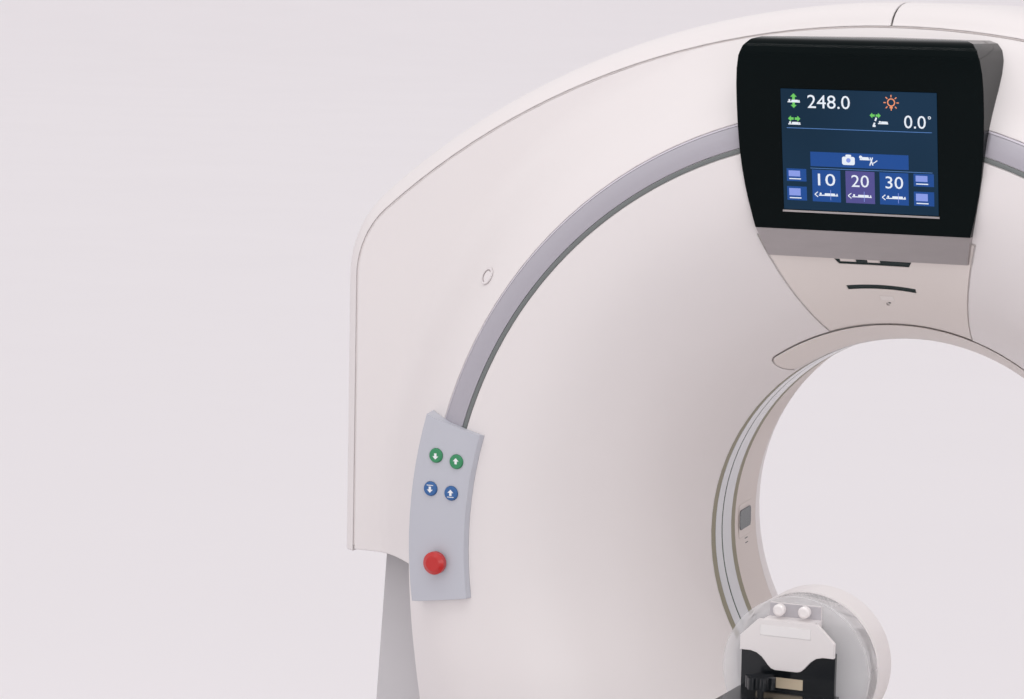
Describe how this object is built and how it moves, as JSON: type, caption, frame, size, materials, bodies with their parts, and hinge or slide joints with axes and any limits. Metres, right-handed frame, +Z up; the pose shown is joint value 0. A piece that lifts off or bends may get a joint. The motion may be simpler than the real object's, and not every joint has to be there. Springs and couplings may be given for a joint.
{
  "type": "ct scanner",
  "caption": "Whole-body CT scanner: tilting ring gantry with a spinning x-ray rotor, display over the opening, lifting patient table with sliding cradle and a test phantom.",
  "frame": {"origin": "on the floor under the isocentre, at the centre of the gantry's four floor anchors", "axes": "+X to the right seen from the table, +Y from the table through the patient opening to the rear, +Z up"},
  "size_m": [1.95, 3.535, 1.885],
  "materials": {
    "cover_white": "satin moulded",
    "cover_grey": "fine grain",
    "frame_paint": "powder coat",
    "machined_steel": "machined",
    "bronze": "turned",
    "drive_black": "satin",
    "inlay_grey": "satin lacquer",
    "badge_white": "gloss",
    "console_grey": "satin",
    "slot_dark": "matt",
    "housing_black": "high gloss",
    "screen_navy": "lit screen",
    "trim_silver": "silver lacquer",
    "window_film": "smooth film",
    "seal_olive": "matt",
    "liner_beige": "fine grain",
    "laser_glass": "dark tinted",
    "panel_grey": "fine grain",
    "key_green": "smooth",
    "key_blue": "smooth",
    "stop_red": "gloss",
    "drum_alloy": "machined casting",
    "tube_housing": "cast",
    "detector_case": "anodised",
    "unit_case": "sheet steel",
    "copper": "slip ring tracks",
    "belt_rubber": "ribbed",
    "rail_alloy": "extruded",
    "cradle_grey": "carbon composite, painted",
    "pad_black": "soft vinyl",
    "phantom_acrylic": "clear acrylic",
    "phantom_white": "smooth",
    "holder_dark": "matt"
  },
  "bodies": {
    "base": {"floor_frame": "frame_paint", "base_plinth": "cover_grey", "pedestals": "frame_paint", "pedestal_covers": "cover_grey", "tilt_bearings": "bronze", "tilt_drive": "drive_black", "table_base": "frame_paint", "base_skirt": "cover_grey"},
    "gantry": {"tilt_frame": "frame_paint", "front_cover": "cover_white", "crown_left": "cover_white", "crown_right": "cover_white", "rear_cover": "cover_white", "belly_cover": "cover_white", "inlay_bands": "inlay_grey", "badge": "badge_white", "console_panel": "console_grey", "slot_inserts": "slot_dark", "lip_panel": "console_grey", "display_housing": "housing_black", "display_screen": "screen_navy", "screen_trim": "trim_silver", "display_chin": "trim_silver", "scan_window": "window_film", "window_seals": "seal_olive", "rear_liner": "liner_beige", "laser_windows": "laser_glass", "control_panels": "panel_grey", "bearing_outer_race": "machined_steel", "slip_ring_brushes": "drive_black", "rotor_motor": "drive_black", "drive_belt": "belt_rubber"},
    "rotor": {"bearing_inner_race": "machined_steel", "rotor_drum": "drum_alloy", "xray_tube": "tube_housing", "detector": "detector_case", "rotor_units": "unit_case", "slip_ring": "copper"},
    "ball_cage": {"bearing_balls": "machined_steel"},
    "pulley": {"drive_pulley": "machined_steel"},
    "stage_one": {"lift_stage_one": "cover_grey"},
    "stage_two": {"lift_stage_two": "cover_grey"},
    "table_top": {"table_top_frame": "rail_alloy", "table_tray": "cover_white"},
    "cradle": {"cradle": "cradle_grey", "patient_pad": "pad_black", "phantom_clear": "phantom_acrylic", "phantom_drum": "phantom_white", "phantom_holder": "holder_dark", "phantom_bracket": "phantom_white"},
    "button_up_left": {"button_up_left": "key_green"},
    "button_down_left": {"button_down_left": "key_green"},
    "button_in_left": {"button_in_left": "key_blue"},
    "button_out_left": {"button_out_left": "key_blue"},
    "button_up_right": {"button_up_right": "key_green"},
    "button_down_right": {"button_down_right": "key_green"},
    "button_in_right": {"button_in_right": "key_blue"},
    "button_out_right": {"button_out_right": "key_blue"},
    "stop_left": {"stop_left": "stop_red"},
    "stop_right": {"stop_right": "stop_red"}
  },
  "joints": [
    {"name": "gantry_tilt", "type": "hinge", "parent": "base", "child": "gantry", "pos_m": [0, 0, 0.985], "axis": [-1, 0, 0], "range_deg": [-30, 30]},
    {"name": "rotor_spin", "type": "hinge", "parent": "gantry", "child": "rotor", "pos_m": [0, 0, 0.985], "axis": [0, 1, 0], "continuous": true},
    {"name": "ball_cage_spin", "type": "hinge", "parent": "gantry", "child": "ball_cage", "pos_m": [0, 0, 0.985], "axis": [0, 1, 0], "continuous": true},
    {"name": "drive_pulley_spin", "type": "hinge", "parent": "gantry", "child": "pulley", "pos_m": [0.558, 0.078, 0.427], "axis": [0, 1, 0], "continuous": true},
    {"name": "table_lift", "type": "slide", "parent": "base", "child": "table_top", "axis": [0, 0, 1], "range_m": [-0.307, 0.215]},
    {"name": "stage_one_lift", "type": "slide", "parent": "base", "child": "stage_one", "axis": [0, 0, 1], "range_m": [-0.1024, 0.0717]},
    {"name": "stage_two_lift", "type": "slide", "parent": "base", "child": "stage_two", "axis": [0, 0, 1], "range_m": [-0.2047, 0.1434]},
    {"name": "cradle_slide", "type": "slide", "parent": "table_top", "child": "cradle", "axis": [0, 1, 0], "range_m": [0, 1.7]},
    {"name": "button_up_left_press", "type": "slide", "parent": "gantry", "child": "button_up_left", "axis": [0, 1, 0], "range_m": [0, 0.0015], "stiffness_N_per_m": 900, "springref_m": -0.0015},
    {"name": "button_down_left_press", "type": "slide", "parent": "gantry", "child": "button_down_left", "axis": [0, 1, 0], "range_m": [0, 0.0015], "stiffness_N_per_m": 900, "springref_m": -0.0015},
    {"name": "button_in_left_press", "type": "slide", "parent": "gantry", "child": "button_in_left", "axis": [0, 1, 0], "range_m": [0, 0.0015], "stiffness_N_per_m": 900, "springref_m": -0.0015},
    {"name": "button_out_left_press", "type": "slide", "parent": "gantry", "child": "button_out_left", "axis": [0, 1, 0], "range_m": [0, 0.0015], "stiffness_N_per_m": 900, "springref_m": -0.0015},
    {"name": "button_up_right_press", "type": "slide", "parent": "gantry", "child": "button_up_right", "axis": [0, 1, 0], "range_m": [0, 0.0015], "stiffness_N_per_m": 900, "springref_m": -0.0015},
    {"name": "button_down_right_press", "type": "slide", "parent": "gantry", "child": "button_down_right", "axis": [0, 1, 0], "range_m": [0, 0.0015], "stiffness_N_per_m": 900, "springref_m": -0.0015},
    {"name": "button_in_right_press", "type": "slide", "parent": "gantry", "child": "button_in_right", "axis": [0, 1, 0], "range_m": [0, 0.0015], "stiffness_N_per_m": 900, "springref_m": -0.0015},
    {"name": "button_out_right_press", "type": "slide", "parent": "gantry", "child": "button_out_right", "axis": [0, 1, 0], "range_m": [0, 0.0015], "stiffness_N_per_m": 900, "springref_m": -0.0015},
    {"name": "stop_left_press", "type": "slide", "parent": "gantry", "child": "stop_left", "axis": [0, 1, 0], "range_m": [0, 0.0015], "stiffness_N_per_m": 2500, "springref_m": -0.0015},
    {"name": "stop_right_press", "type": "slide", "parent": "gantry", "child": "stop_right", "axis": [0, 1, 0], "range_m": [0, 0.0015], "stiffness_N_per_m": 2500, "springref_m": -0.0015}
  ],
  "couplings": [
    {"joint": "ball_cage_spin", "follows": "rotor_spin", "ratio": 0.4953},
    {"joint": "drive_pulley_spin", "follows": "rotor_spin", "ratio": 11.5},
    {"joint": "stage_one_lift", "follows": "table_lift", "ratio": 0.33333},
    {"joint": "stage_two_lift", "follows": "table_lift", "ratio": 0.66667}
  ]
}
